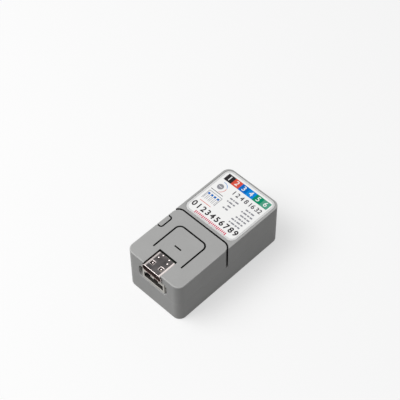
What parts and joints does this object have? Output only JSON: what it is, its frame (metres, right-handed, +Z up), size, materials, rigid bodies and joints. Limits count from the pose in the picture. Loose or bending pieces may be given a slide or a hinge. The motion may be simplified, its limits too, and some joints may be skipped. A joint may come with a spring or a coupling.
{
  "type": "stepper driver module",
  "caption": "Small grey plug-together stepper motor driver: button controller with data port on a base with a tall labelled block, terminal strip, step switch and current trimmer.",
  "frame": {"origin": "middle of the base's bottom face", "axes": "+X to the right, +Y from the data port end to the terminal end, +Z up"},
  "size_m": [0.024, 0.0484, 0.018],
  "materials": {
    "shell_plastic": "fine spark-eroded grain",
    "circuit_board": "solder mask",
    "port_metal": "nickel plated sheet",
    "black_plastic": "moulded",
    "gilt_contact": "plated",
    "ivory_plastic": "moulded",
    "chip_resin": "moulded resin",
    "passive_ceramic": "fired",
    "capacitor_metal": "drawn can",
    "label_film": "printed film",
    "terminal_plastic": "moulded",
    "trimmer_plastic": "moulded",
    "screw_steel": "black oxide"
  },
  "bodies": {
    "module": {"controller_top_shell": "shell_plastic", "controller_floor": "shell_plastic", "controller_board": "circuit_board", "data_port_shell": "port_metal", "data_port_tongue": "black_plastic", "data_port_contacts": "gilt_contact", "signal_socket": "ivory_plastic", "signal_pins": "gilt_contact", "signal_lugs": "port_metal", "user_switch": "port_metal", "reset_switch": "port_metal", "radio_chip": "chip_resin", "serial_chip": "chip_resin", "antenna": "port_metal", "status_light": "ivory_plastic", "controller_passives": "passive_ceramic", "socket_strip_left": "black_plastic", "socket_strip_right": "black_plastic", "threaded_insert": "gilt_contact", "base_tray": "shell_plastic", "upper_shell": "shell_plastic", "label": "label_film", "driver_board": "circuit_board", "pin_header_left": "black_plastic", "pin_header_right": "black_plastic", "header_pins": "gilt_contact", "driver_chip": "chip_resin", "driver_chip_leads": "port_metal", "capacitor_can": "capacitor_metal", "capacitor_foot": "black_plastic", "buck_chip": "chip_resin", "buck_inductor": "chip_resin", "supply_diode": "chip_resin", "sense_resistors": "chip_resin", "driver_passives": "passive_ceramic", "terminal_housing": "terminal_plastic", "terminal_pins": "port_metal", "step_switch": "black_plastic", "trimmer_body": "trimmer_plastic", "hub_screw": "screw_steel", "shell_screws": "screw_steel"},
    "user_button": {"user_button": "shell_plastic", "user_switch_plunger": "black_plastic"},
    "reset_button": {"reset_button": "shell_plastic", "reset_switch_plunger": "black_plastic"},
    "slider_1": {"step_slider_1": "ivory_plastic"},
    "slider_2": {"step_slider_2": "ivory_plastic"},
    "slider_3": {"step_slider_3": "ivory_plastic"},
    "slider_4": {"step_slider_4": "ivory_plastic"},
    "trimmer_rotor": {"trimmer_rotor": "ivory_plastic"}
  },
  "joints": [
    {"name": "user_press", "type": "hinge", "parent": "module", "child": "user_button", "pos_m": [0, -0.0172, 0.0171], "axis": [-1, 0, 0], "range_deg": [0, 1.75], "stiffness_Nm_per_rad": 0.2},
    {"name": "reset_press", "type": "hinge", "parent": "module", "child": "reset_button", "pos_m": [-0.011, -0.00752, 0.012], "axis": [0, 1, 0], "range_deg": [0, 3.4], "stiffness_Nm_per_rad": 0.08},
    {"name": "step_1", "type": "slide", "parent": "module", "child": "slider_1", "axis": [0, 0, 1], "range_m": [0, 0.0015]},
    {"name": "step_2", "type": "slide", "parent": "module", "child": "slider_2", "axis": [0, 0, 1], "range_m": [0, 0.0015]},
    {"name": "step_3", "type": "slide", "parent": "module", "child": "slider_3", "axis": [0, 0, 1], "range_m": [0, 0.0015]},
    {"name": "step_4", "type": "slide", "parent": "module", "child": "slider_4", "axis": [0, 0, 1], "range_m": [0, 0.0015]},
    {"name": "trimmer_turn", "type": "hinge", "parent": "module", "child": "trimmer_rotor", "pos_m": [-0.011, 0.01131, 0.0062], "axis": [-1, 0, 0], "range_deg": [-130, 130]}
  ]
}
